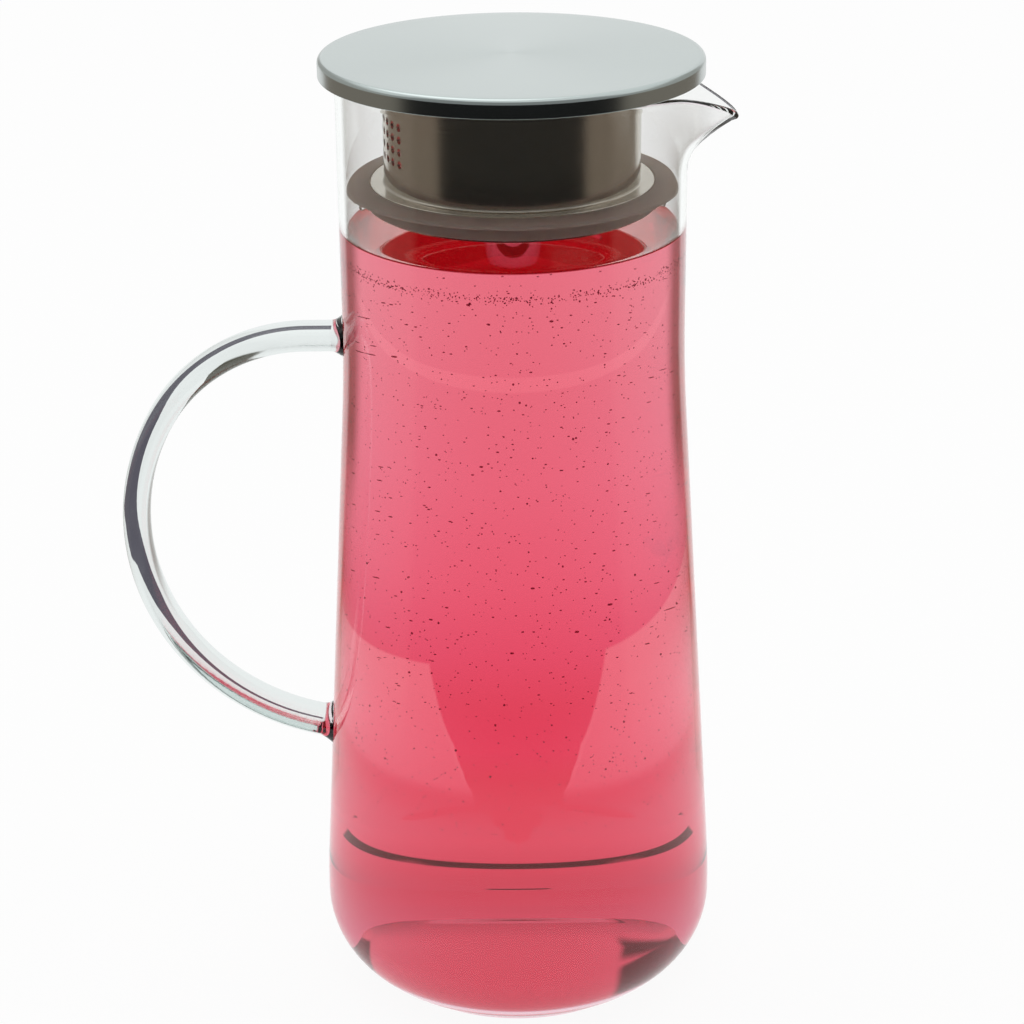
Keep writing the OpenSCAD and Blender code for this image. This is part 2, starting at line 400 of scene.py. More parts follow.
def bend(a, b, c, steps=10):
    """A smooth bend from a to c that turns at corner b."""
    return [
        tuple((1 - t) ** 2 * p + 2 * t * (1 - t) * q + t * t * s for p, q, s in zip(a, b, c))
        for t in (i / steps for i in range(steps + 1))
    ]


def toward(a, b, d):
    """The point at distance d from a on the way to b."""
    share = d / math.dist(a, b)
    return tuple(p + (q - p) * share for p, q in zip(a, b))


def foot_corner(heel, reach):
    """Runs the heel straight down to the floor and turns a small round corner there."""
    heel = [p for p in heel if p[1] > CORNER_Z]
    r, z = heel[0]
    share = (r - FOOT_R) / reach
    slope = BELLY_H * share / (reach * math.sqrt(1 - share**2))
    r -= z / slope
    corner = [(-1, 0), (-0.45, 0.03), (0.1, 0.12), (0.8, 0.8 * slope)]
    return [*[(r + CORNER_R * a, CORNER_R * b) for a, b in corner], *heel]


def body_curve(inset, floor, heel_steps=30):
    """The jug's profile from heel to neck, moved inwards and raised at the foot."""
    low, high = (BELLY_R - inset, LOW_H), (NECK_R - inset, HIGH_H)
    inside = min(1, inset / INNER_WALL)
    foot = FOOT_R + (INNER_FOOT_R - FOOT_R) * inside
    top = BELLY_H + (INNER_HEEL_H - BELLY_H) * inside
    reach = BELLY_R - inset - foot
    heel = [
        (foot + reach * math.cos(a), top - (top - floor) * math.sin(a))
        for a in (math.pi / 2 * (1 - i / heel_steps) for i in range(heel_steps + 1))
    ]
    if inset == 0:
        heel = foot_corner(heel, reach)
    return [
        *heel,
        *bend((low[0], low[1] - LOW_BEND * 0.98), low, toward(low, high, LOW_BEND)),
        *bend(toward(high, low, HIGH_BEND), high, (high[0], high[1] + HIGH_BEND)),
    ]


def curve_radius(curve, z):
    """Radius of a rising profile at height z."""
    for (r0, z0), (r1, z1) in zip(curve, curve[1:]):
        if z0 <= z <= z1:
            return r0 + (r1 - r0) * (z - z0) / max(z1 - z0, 1e-9)
    return curve[0][0] if z < curve[0][1] else curve[-1][0]


SWELL_Z = RIM_H - SPOUT_DROP - SPOUT_SWELL
CUT_Z = SWELL_Z - 3
BEAD_Z = RIM_H - BEAD_R


def lip_pull(a):
    """How far the rim is pulled out at angle a from the lip's middle."""
    return SPOUT_OUT * math.exp(-((abs(a) / PULL_DEG) ** 1.3))


def lip_rim(a):
    """Height of the rim at angle a from the lip's middle."""
    fade = 1 - min(1, abs(a) / REACH_DEG) ** 4
    return RIM_H - SPOUT_DROP * math.exp(-abs(a) / DROP_DEG) * fade


def lip_middle(a, z, wall):
    """Radius of the middle of the glass at angle a and height z."""
    rise = max(0, (z - SWELL_Z) / (lip_rim(a) - SWELL_Z))
    return NECK_R - wall / 2 + lip_pull(a) * rise**1.8


def pull_lip(piece, wall):
    """Pulls the neck's glass outwards and down into the pouring lip, wall and bead together."""
    for v in piece.data.vertices:
        x, y, z = v.co / MM
        a = math.degrees(math.atan2(y, x))
        if z < CUT_Z or abs(a) > REACH_DEG:
            continue
        top = lip_rim(a) - BEAD_R
        share = min(1, (z - CUT_Z) / (BEAD_Z - CUT_Z))
        new_z = CUT_Z + share * (top - CUT_Z)
        run = lip_middle(a, new_z + 0.01, wall) - lip_middle(a, new_z - 0.01, wall)
        along = Vector((run, 0.02)).normalized()
        out = math.hypot(x, y) - (NECK_R - wall / 2)
        over = max(0, z - BEAD_Z)
        r = lip_middle(a, new_z, wall) + out * along.y + over * along.x
        height = new_z - out * along.x + over * along.y
        turn = math.radians(a)
        v.co = Vector((r * math.cos(turn), r * math.sin(turn), height)) * MM


# The handle's rod


def rod_places(wall):
    """Places along the rod: middle, direction of its thickness, and distance from the nearer weld."""
    sink = wall * 0.7
    slope = (BELLY_R - NECK_R) / (HIGH_H - LOW_H)
    x1, z1 = -NECK_R - HANDLE_RUN, HANDLE_H - ARM_R1
    turn = math.radians(90 + ARM_TURN)
    x2 = x1 + (ARM_R1 - ARM_R2) * math.cos(turn)
    z2 = z1 + (ARM_R1 - ARM_R2) * math.sin(turn)

    def on_arc(x, z, radius, a):
        return x + radius * math.cos(a), z + radius * math.sin(a)

    end = math.radians(200)
    while True:
        x, z = on_arc(x2, z2, ARM_R2, end)
        if x > -(BELLY_R - slope * (z - LOW_H)) + sink:
            break
        end += math.radians(0.02)
    weld = WELD_L / ARM_R2
    straight = [
        ((-NECK_R + sink - d, HANDLE_H), math.pi / 2, min(d, WELD_L))
        for d in (HANDLE_RUN * i / 14 for i in range(14))
    ]
    upper = [
        (on_arc(x1, z1, ARM_R1, a), a, WELD_L)
        for a in (math.pi / 2 + (turn - math.pi / 2) * i / 24 for i in range(25))
    ]
    lower = [
        (on_arc(x2, z2, ARM_R2, a), a, WELD_L)
        for a in (turn + (end - weld - turn) * i / 44 for i in range(1, 45))
    ]
    root = [
        (on_arc(x2, z2, ARM_R2, a), a, (end - a) / weld * WELD_L)
        for a in (end - weld * (1 - i / 8) for i in range(1, 9))
    ]
    return [*straight, *upper, *lower, *root], math.radians(270) - math.atan(slope)


def rod_ring(place, wall_turn, sides):
    """Points of the rod's oval section at a place, wider and turned to the wall at a weld."""
    (x, z), turn, depth = place
    swell = (1 - depth / WELD_L) ** 2
    thick = (ROD_T + (WELD_H - ROD_T) * swell) / 2
    width = (ROD_W + (WELD_W - ROD_W) * swell) / 2
    if turn > math.pi:
        turn += (wall_turn - turn) * swell
    ring = []
    for i in range(sides):
        b = math.tau * i / sides
        c, s = math.cos(b), math.sin(b)
        out = thick * math.copysign(abs(c) ** 0.85, c)
        across = width * math.copysign(abs(s) ** 0.85, s)
        ring.append(Vector((x + out * math.cos(turn), across, z + out * math.sin(turn))) * MM)
    return ring


def bent_rod(name, places, wall_turn, sides=48):
    """Extrudes a round blank place by place along the handle and presses each ring oval."""
    clear_selection()
    bpy.ops.mesh.primitive_circle_add(vertices=sides, radius=ROD_W / 2 * MM, fill_type="NGON")
    piece = bpy.context.object
    piece.name = piece.data.name = name
    bpy.ops.object.mode_set(mode="EDIT")
    bpy.ops.mesh.select_all(action="SELECT")
    for _ in places[1:]:
        bpy.ops.mesh.extrude_region_move(TRANSFORM_OT_translate={"value": (0, 0, MM)})
    bpy.ops.object.mode_set(mode="OBJECT")
    for n, place in enumerate(places):
        for v, point in zip(ring_of(piece, n, sides), rod_ring(place, wall_turn, sides)):
            v.co = point
    bpy.ops.object.mode_set(mode="EDIT")
    bpy.ops.mesh.select_all(action="SELECT")
    bpy.ops.mesh.normals_make_consistent(inside=False)
    bpy.ops.object.mode_set(mode="OBJECT")
    return piece


def ring_of(piece, n, sides):
    """The n-th ring of an extruded blank, in the order of the first."""
    return [piece.data.vertices[n * sides + i] for i in range(sides)]


# Materials


def new_material(name):
    material = bpy.data.materials.new(name)
    material.use_nodes = True
    material.node_tree.nodes.clear()
    return material


def add_node(tree, kind, links=None, **values):
    """Adds a node, sets its values or sockets, and links other nodes' outputs into it."""
    node = tree.nodes.new(kind)
    for key, value in values.items():
        if key in node.inputs:
            node.inputs[key].default_value = value
        else:
            setattr(node, key, value)
    for socket, source in (links or {}).items():
        tree.links.new(source, node.inputs[socket])
    return node


def math_node(tree, operation, a, b=0.0, clamp=False):
    """A Math node whose inputs are numbers or other nodes' outputs."""
    node = tree.nodes.new("ShaderNodeMath")
    node.operation = operation
    node.use_clamp = clamp
    for i, value in enumerate((a, b)):
        if isinstance(value, (int, float)):
            node.inputs[i].default_value = value
        else:
            tree.links.new(value, node.inputs[i])
    return node.outputs[0]


def ramp(tree, source, start, end, low=0.0, high=1.0):
    """A soft step from low to high as the source goes from start to end."""
    node = add_node(tree, "ShaderNodeMapRange", {"Value": source}, interpolation_type="SMOOTHSTEP")
    for key, value in (("From Min", start), ("From Max", end), ("To Min", low), ("To Max", high)):
        node.inputs[key].default_value = value
    return node.outputs["Result"]


def blend_colours(tree, share, first, second):
    """Mixes two colours, each a plain colour or another node's output."""
    node = add_node(tree, "ShaderNodeMix", data_type="RGBA")
    for key, value in ((0, share), (6, first), (7, second)):
        if isinstance(value, (tuple, float)):
            node.inputs[key].default_value = value
        else:
            tree.links.new(value, node.inputs[key])
    return node.outputs[2]


def mix_shaders(tree, share, first, second):
    """Mixes two shader nodes by a plain number or another node's output."""
    node = add_node(tree, "ShaderNodeMixShader", {1: first.outputs[0], 2: second.outputs[0]})
    if isinstance(share, float):
        node.inputs[0].default_value = share
    else:
        tree.links.new(share, node.inputs[0])
    return node


def distance(tree, x, y):
    """Distance of a place at x and y from the axis."""
    square = math_node(
        tree, "ADD", math_node(tree, "POWER", x, 2.0), math_node(tree, "POWER", y, 2.0)
    )
    return math_node(tree, "SQRT", square)


def clear_view(tree, light):
    """One where a ray has come straight through glass or drink, or off the base through the drink."""
    passed = light.outputs["Transmission Depth"]
    through = math_node(tree, "GREATER_THAN", passed, 0.5)
    unmirrored = math_node(
        tree,
        "MAXIMUM",
        math_node(tree, "GREATER_THAN", passed, BASE_PASSES),
        math_node(tree, "LESS_THAN", light.outputs["Glossy Depth"], 0.5),
    )
    direct = math_node(tree, "LESS_THAN", light.outputs["Diffuse Depth"], 0.5)
    return math_node(tree, "MULTIPLY", through, math_node(tree, "MULTIPLY", unmirrored, direct))


def output(tree, surface, volume=None):
    """Ends a material with its surface and, for the drink, its volume."""
    links = {"Surface": surface}
    if volume:
        links["Volume"] = volume
    add_node(tree, "ShaderNodeOutputMaterial", links)


def place_of(tree):
    """Object coordinates, split into x, y and z."""
    coords = add_node(tree, "ShaderNodeTexCoord")
    split = add_node(tree, "ShaderNodeSeparateXYZ", {"Vector": coords.outputs["Object"]})
    return split.outputs


def clear_glass(name, tint, ior):
    material = new_material(name)
    tree = material.node_tree
    glass = add_node(tree, "ShaderNodeBsdfGlass", Color=(*tint, 1), Roughness=0.0, IOR=ior)
    output(tree, glass.outputs["BSDF"])
    return material


def base_shade_glass(name, tint, ior, low):
    """Glass with a painted shade near the base: the drink's red, deepest at the base and fading upwards.
    """
    material = new_material(name)
    tree = material.node_tree
    z = place_of(tree)["Z"]
    clear = ramp(tree, z, low, low + BASE_SHADE_H * MM)
    colour = blend_colours(tree, clear, (*tint, 1), WHITE)
    glass = add_node(tree, "ShaderNodeBsdfGlass", {"Color": colour}, Roughness=0.0, IOR=ior)
    output(tree, glass.outputs["BSDF"])
    return material


def foot_glass(name, tint, straight_share):
    """Glass of the foot's corner, through which part of the light goes straight to the floor."""
    material = new_material(name)
    tree = material.node_tree
    glass = add_node(tree, "ShaderNodeBsdfGlass", Color=WHITE, Roughness=0.0, IOR=GLASS_IOR)
    straight = add_node(tree, "ShaderNodeBsdfTransparent", Color=(*tint, 1))
    output(tree, mix_shaders(tree, straight_share, glass, straight).outputs["Shader"])
    return material


def red_drink(settings):
    """Clear red drink: a bare surface on top, none where glass touches it, and colour in its depth."""
    material = new_material("red_drink")
    tree = material.node_tree
    z = place_of(tree)["Z"]
    geometry = add_node(tree, "ShaderNodeNewGeometry")
    normal = add_node(tree, "ShaderNodeSeparateXYZ", {"Vector": geometry.outputs["Normal"]})
    level = math_node(tree, "ABSOLUTE", normal.outputs["Z"])
    faces_up = math_node(tree, "GREATER_THAN", level, 0.2)
    is_high = math_node(tree, "GREATER_THAN", z, (FILL_H - 1) * MM)
    open_top = math_node(tree, "MULTIPLY", faces_up, is_high)
    inside = add_node(tree, "ShaderNodeBsdfTransparent", Color=WHITE)
    clear = add_node(tree, "ShaderNodeBsdfGlass", Color=WHITE, Roughness=0.0, IOR=SURFACE_IOR)
    sheen = add_node(tree, "ShaderNodeBsdfGlossy", Color=WHITE, Roughness=0.02)
    mixed = mix_shaders(tree, open_top, inside, mix_shaders(tree, 0.2, clear, sheen))
    depth = add_node(
        tree, "ShaderNodeVolumeAbsorption", Color=(*settings.kept, 1), Density=settings.strength
    )
    output(tree, mixed.outputs["Shader"], depth.outputs["Volume"])
    return material


def fruit_specks(colour):
    """Soft dark specks that let some light past."""
    material = new_material("fruit_specks")
    tree = material.node_tree
    soft = add_node(tree, "ShaderNodeBsdfDiffuse", Color=(*colour, 1))
    past = add_node(tree, "ShaderNodeBsdfTransparent", Color=(0.85, 0.5, 0.6, 1))
    output(tree, mix_shaders(tree, 0.6, soft, past).outputs["Shader"])
    return material


def brushed_steel(name, colour, lines, roughness, round_face):
    """Steel brushed round the axis: fine rings on a face, or fine lines round a wall."""
    material = new_material(name)
    tree = material.node_tree
    x, y, z = place_of(tree)
    across = distance(tree, x, y) if round_face else z
    fine = add_node(
        tree,
        "ShaderNodeTexNoise",
        {"W": math_node(tree, "MULTIPLY", across, lines)},
        noise_dimensions="1D",
        Scale=1.0,
        Detail=3.0,
        Roughness=0.7,
    )
    coords = add_node(tree, "ShaderNodeTexCoord")
    wear = add_node(
        tree, "ShaderNodeTexNoise", {"Vector": coords.outputs["Object"]}, Scale=28.0, Detail=3.0
    )
    rough = math_node(tree, "MULTIPLY_ADD", fine.outputs["Fac"], 0.16)
    rough.node.inputs[2].default_value = roughness - 0.08
    shade = math_node(tree, "MULTIPLY_ADD", wear.outputs["Fac"], 0.08)
    shade.node.inputs[2].default_value = 0.93
    tone = math_node(tree, "MULTIPLY_ADD", fine.outputs["Fac"], 0.1)
    tree.links.new(shade, tone.node.inputs[2])
    colours = add_node(tree, "ShaderNodeVectorMath", {1: tone}, operation="MULTIPLY")
    colours.inputs[0].default_value = colour
    bump = add_node(
        tree, "ShaderNodeBump", {"Height": fine.outputs["Fac"]}, Strength=0.05, Distance=0.00004
    )
    tangent = add_node(tree, "ShaderNodeTangent", direction_type="RADIAL", axis="Z")
    steel = add_node(
        tree,
        "ShaderNodeBsdfPrincipled",
        {
            "Base Color": colours.outputs[0],
            "Roughness": rough,
            "Normal": bump.outputs["Normal"],
            "Tangent": tangent.outputs["Tangent"],
        },
        Metallic=1.0,
        Anisotropic=0.75,
    )
    output(tree, steel.outputs["BSDF"])
    return material


def silicone(colour):
    """Cloudy soft silicone that passes some light."""
    material = new_material("silicone")
    tree = material.node_tree
    coords = add_node(tree, "ShaderNodeTexCoord")
    cloudy = add_node(
        tree, "ShaderNodeTexNoise", {"Vector": coords.outputs["Object"]}, Scale=90.0, Detail=4.0
    )
    rough = math_node(tree, "MULTIPLY_ADD", cloudy.outputs["Fac"], 0.2)
    rough.node.inputs[2].default_value = 0.3
    bump = add_node(
        tree, "ShaderNodeBump", {"Height": cloudy.outputs["Fac"]}, Strength=0.1, Distance=0.0002
    )
    soft = add_node(
        tree,
        "ShaderNodeBsdfPrincipled",
        {"Roughness": rough, "Normal": bump.outputs["Normal"]},
        **{
            "Base Color": (*colour, 1),
            "Subsurface Weight": 0.35,
            "Subsurface Radius": (1.0, 0.8, 0.6),
            "Subsurface Scale": 0.002,
            "IOR": 1.41,
        },
    )
    through = add_node(tree, "ShaderNodeBsdfTranslucent", Color=(0.95, 0.88, 0.8, 1))
    output(tree, mix_shaders(tree, 0.45, soft, through).outputs["Shader"])
    return material


# Operators


class JUG_OT_glass(bpy.types.Operator):
    """Blows the body, pulls the lip and fuses the handle on"""

    bl_idname = "jug.glass"
    bl_label = "Glass body and handle"

    def execute(self, context):
        settings = context.scene.jug_glass
        creep = context.scene.jug_drink.creep / MM
        wall, base, punt = (v / MM for v in (settings.wall, settings.base, settings.punt))
        inner_r = NECK_R - wall
        bead_mid = inner_r + BEAD_R
        rows = [CUT_Z + i for i in range(int(RIM_H - BEAD_R - BEAD_RUN - CUT_Z) + 1)]
        wet_z = FILL_H + creep
        inside_rows = sorted([196.0, 204.0, wet_z - 3, wet_z, wet_z + 3, *rows])
        hollow_rings = (0, 6, 12, 18, 22, 25, 27.5, 29, PUNT_R)
        under = [(r, punt * (1 - (r / PUNT_R) ** 2)) for r in hollow_rings]
        section = [
            *under,
            (FOOT_RING_R, 0),
            (35, 0),
            *body_curve(0, 0),
            *[(NECK_R, z) for z in (196, 204, 212, 218, *rows, RIM_H - BEAD_R - BEAD_RUN)],
            *[
                (bead_mid + BEAD_R * math.cos(a), BEAD_Z + BEAD_R * math.sin(a))
                for a in (math.pi * i / 14 for i in range(15))
            ],
            (inner_r, RIM_H - BEAD_R - BEAD_RUN),
            *[(inner_r, z) for z in reversed(inside_rows)],
            *reversed(body_curve(wall, base)),
            (20, base),
            (0, base),
        ]
        body = turned("jug_glass", section, settings.columns)
        kinds = (
            clear_glass("clear_glass", settings.tint, GLASS_IOR),
            clear_glass("wetted_glass", (1, 1, 1), WETTED_IOR),
            base_shade_glass("wetted_base", settings.base_shade_tint, WETTED_IOR, base * MM),
            foot_glass("foot_corner", (0.95, 0.82, 0.86), 0.97),
            clear_glass("handle_glass", settings.handle_tint, GLASS_IOR),
        )
        for material in kinds:
            body.data.materials.append(material)
        middle = body_curve(wall / 2, base / 2)
        for face in body.data.polygons:
            x, y, z = face.center / MM
            r = math.hypot(x, y)
            if base - 0.1 < z < wet_z and r < curve_radius(middle, z):
                face.material_index = SHADED_BASE if z < base + BASE_SHADE_H + 1 else WET
            elif z < CORNER_Z + 0.2 and r > FOOT_RING_R:
                face.material_index = CORNER
        pull_lip(body, wall)
        places, wall_turn = rod_places(wall)
        rod = bent_rod("handle_rod", places, wall_turn)
        for material in kinds:
            rod.data.materials.append(material)
        for face in rod.data.polygons:
            face.material_index = THICK
        apply_modifier(body, "BOOLEAN", operation="UNION", object=rod, solver="EXACT")
        bpy.data.objects.remove(rod)
        settle(body, 40)
        finish_piece(body, "jug", ["glass_jug"])
        return {"FINISHED"}


class JUG_OT_drink(bpy.types.Operator):
    """Fills the jug with the drink"""

    bl_idname = "jug.drink"
    bl_label = "Drink"

    def execute(self, context):
        glass, settings = context.scene.jug_glass, context.scene.jug_drink
        wall, base, creep = (v / MM for v in (glass.wall, glass.base, settings.creep))
        side = body_curve(wall + DRINK_GAP, base + DRINK_GAP)
        side = [p for p in side if p[1] < FILL_H - 4]
        top_r = NECK_R - wall - DRINK_GAP
        skin = [0, 0.15, 0.35, 0.6, 1, 1.5, 2.1, 3, 4.2, 6, 8.5, 12, 18, 30]
        section = [
            (0, base + DRINK_GAP),
            *side,
            (top_r, FILL_H - 4),
            *[(top_r - d, FILL_H + creep * math.exp(-d / 1.9)) for d in skin],
            (0, FILL_H),
        ]
        drink = turned("drink_body", section, glass.columns)
        settle(drink, 30)
        finish_piece(drink, "jug", ["drink"], [red_drink(settings)])
        return {"FINISHED"}


class JUG_OT_specks(bpy.types.Operator):
    """Sets fine specks on the inside of the wall, under the drink's surface"""

    bl_idname = "jug.specks"
    bl_label = "Specks"

    def execute(self, context):
        glass, settings = context.scene.jug_glass, context.scene.jug_drink
        inner = body_curve(glass.wall / MM + DRINK_GAP, glass.base / MM)
        draw = random.Random(7)
        ring_depth, ring_spread, lowest = 5.2, 0.7, 62
        places = []
        for n in range(settings.specks):
            if n % 4 == 0:
                z = FILL_H - draw.gauss(ring_depth, ring_spread)
            else:
                z = draw.uniform(lowest, FILL_H - 3)
            size = draw.uniform(0.1, 0.21) if draw.random() < 0.96 else draw.uniform(0.22, 0.36)
            turn = draw.uniform(0, math.tau)
            r = curve_radius(inner, z) - size * 1.1 - 0.02
            place = Vector((r * math.cos(turn), r * math.sin(turn), z)) * MM
            places.append((place, (size * MM,) * 3))
        piece = scattered("drink_specks", 6, 4, places)
        lots = []
        for turn in (83, 171, 262):
            lot = piece.copy()
            lot.data = piece.data.copy()
            context.collection.objects.link(lot)
            lot.rotation_euler.z = math.radians(turn)
            lots.append(lot)
        join_into(piece, lots)
        settle(piece, 180)
        finish_piece(piece, "jug", (), [fruit_specks((0.3, 0.03, 0.06))])
        return {"FINISHED"}


class JUG_OT_drops(bpy.types.Operator):
    """Hangs a few drops of water under the seal's lip"""

    bl_idname = "jug.drops"
    bl_label = "Drops"

    def execute(self, context):
        lip_r = NECK_R - context.scene.jug_glass.wall / MM - SEAL_GAP
        under = FLANGE_Z - 1.6
        draw = random.Random(11)
        places = []
        for turn in (-172, -167, -160, -152, -41, -33, -27, -22, -15, 20, 64, 118, 155):
            size = draw.uniform(0.45, 0.8)
            r = lip_r - draw.uniform(0.9, 1.4)
            a = math.radians(turn)
            place = Vector((r * math.cos(a), r * math.sin(a), under - size * 0.5)) * MM
            places.append((place, Vector((size, size, size * draw.uniform(1.1, 1.6))) * MM))
        piece = scattered("seal_drops", 16, 10, places)
        finish_piece(piece, "seal", (), [clear_glass("water", (1, 1, 1), DRINK_IOR)])
        return {"FINISHED"}


class JUG_OT_strainer(bpy.types.Operator):
    """Spins the strainer tube and drills its holes"""

    bl_idname = "jug.strainer"
    bl_label = "Strainer tube"

    def execute(self, context):
        settings = context.scene.jug_lid
        outer, thick, flare, turn_in = 32.2, 0.7, 1.4, 0.6
        inner, bend_r = outer - thick, turn_in + thick
        first_row, row_step, hole_turn = 9.5, 3.1, math.radians(6.4)
        top = LID_Z
        foot = FLANGE_Z
        under = foot - SHEET
        skirt = FLANGE_R - SKIRT_IN
        edge = 0.12
        quarter = [math.pi / 2 * i / 8 for i in range(9)]
        section = [
            (inner, top),
            (outer + flare, top),
            *[
                (outer + flare * (1 - math.sin(a)), top - flare * (1 - math.cos(a)))
                for a in quarter[1:]
            ],
            *[(outer, top - z) for z in (4, 8, 12, 16, 20, 23)],
            *[
                (outer + turn_in * (1 - math.cos(a)), foot + turn_in * (1 - math.sin(a)))
                for a in quarter
            ],
            (FLANGE_R - edge, foot),
            (FLANGE_R, foot - edge),
            (FLANGE_R, under + edge),
            (FLANGE_R - edge, under),
            (skirt, under),
            (skirt, SKIRT_Z + 0.1),
            (skirt - 0.1, SKIRT_Z),
            (skirt - SHEET + 0.1, SKIRT_Z),
            (skirt - SHEET, SKIRT_Z + 0.1),
            (skirt - SHEET, under),
            *[
                (inner + bend_r * (1 - math.cos(a)), under + bend_r * (1 - math.sin(a)))
                for a in reversed(quarter)
            ],
            (inner, top),
        ]
        tube = turned("strainer_tube_steel", section, LID_STEPS)
        pins = []
        for row in range(settings.rows):
            for col in range(settings.columns):
                turn = math.pi + hole_turn * (col - (settings.columns - 1) / 2)
                z = top - first_row - row_step * row
                place = Vector((inner * math.cos(turn), inner * math.sin(turn), z))
                clear_selection()
                bpy.ops.mesh.primitive_cylinder_add(
                    vertices=24,
                    radius=settings.hole / 2,
                    depth=5 * MM,
                    location=place * MM,
                    rotation=(0, math.pi / 2, turn),
                )
                pins.append(bpy.context.object)
        drill = join_into(pins[0], pins[1:])
        apply_modifier(tube, "BOOLEAN", operation="DIFFERENCE", object=drill, solver="EXACT")
        bpy.data.objects.remove(drill)
        settle(tube, 30)
        steel = brushed_steel("strainer_steel", settings.tube_colour, 3000.0, 0.16, False)
        finish_piece(tube, "lid", ["strainer_tube"], [steel])
        return {"FINISHED"}


class JUG_OT_seal(bpy.types.Operator):
    """Spins the silicone ring with its soft lip"""

    bl_idname = "jug.seal"
    bl_label = "Seal ring"

    def execute(self, context):
        foot = FLANGE_Z
        bore = FLANGE_R - SKIRT_IN + 0.1
        collar = FLANGE_R + 0.8
        lip_r = NECK_R - context.scene.jug_glass.wall / MM - SEAL_GAP
        edge = 0.55
        edge_z = foot - 0.5 - edge
        groove = foot - SHEET - 0.1
        section = [
            (bore, SKIRT_Z + 0.8),
            (collar - 0.25, SKIRT_Z + 0.8),
            (collar, SKIRT_Z + 1.05),
            (collar, foot - 2.6),
            (collar + 0.15, foot - 2.1),
            (collar + 0.55, foot - 1.5),
            *[
                (lip_r - edge + edge * math.cos(a), edge_z + edge * math.sin(a))
                for a in (math.pi * (i / 12 - 0.5) for i in range(13))
            ],
            (FLANGE_R + 0.35, foot),
            (FLANGE_R + 0.1, foot - 0.2),
            (FLANGE_R + 0.1, groove),
            (bore, groove),
            (bore, SKIRT_Z + 0.8),
        ]
        ring = turned("seal_silicone", section, LID_STEPS)
        settle(ring, 35)
        soft = silicone(context.scene.jug_lid.seal_colour)
        finish_piece(ring, "seal", ["seal_ring"], [soft])
        return {"FINISHED"}


class JUG_OT_cap(bpy.types.Operator):
    """Presses the steel cap and the plate that closes it"""

    bl_idname = "jug.cap"
    bl_label = "Cap"

    def execute(self, context):
        settings = context.scene.jug_lid
        edge = 1.4
        mid_r, mid_z = CAP_R - edge, TOP_Z - edge
        quarter = [math.pi / 2 * i / 12 for i in range(13)]

        def corner(radius):
            return [(mid_r + radius * math.cos(a), mid_z + radius * math.sin(a)) for a in quarter]

        section = [
            (CAP_R - 0.12, LID_Z),
            (CAP_R, LID_Z + 0.12),
            *corner(edge),
            *[(r, TOP_Z) for r in (44, 40, 30, 15, 4, 0)],
            (0, TOP_Z - SHEET),
            *reversed(corner(edge - SHEET)),
            (CAP_R - SHEET, LID_Z + 0.12),
            (CAP_R - SHEET + 0.12, LID_Z),
            (CAP_R - 0.12, LID_Z),
        ]
        cap = turned("cap_steel", section, LID_STEPS)
        settle(cap, 30)
        steel = brushed_steel("cap_brushed", settings.cap_colour, 2600.0, 0.19, True)
        finish_piece(cap, "lid", ["lid_cap"], [steel])
        plate_r = CAP_R - SHEET - 0.05
        section = [
            (0, LID_Z),
            (plate_r - 0.2, LID_Z),
            (plate_r, LID_Z + 0.15),
            (plate_r, LID_Z + SHEET - 0.1),
            (plate_r - 0.1, LID_Z + SHEET),
            (0, LID_Z + SHEET),
        ]
        plate = turned("lid_plate", section, LID_STEPS)
        settle(plate, 30)
        satin = brushed_steel("plate_steel", settings.tube_colour, 2600.0, 0.34, True)
        finish_piece(plate, "lid", ["lid_base"], [satin])
        return {"FINISHED"}


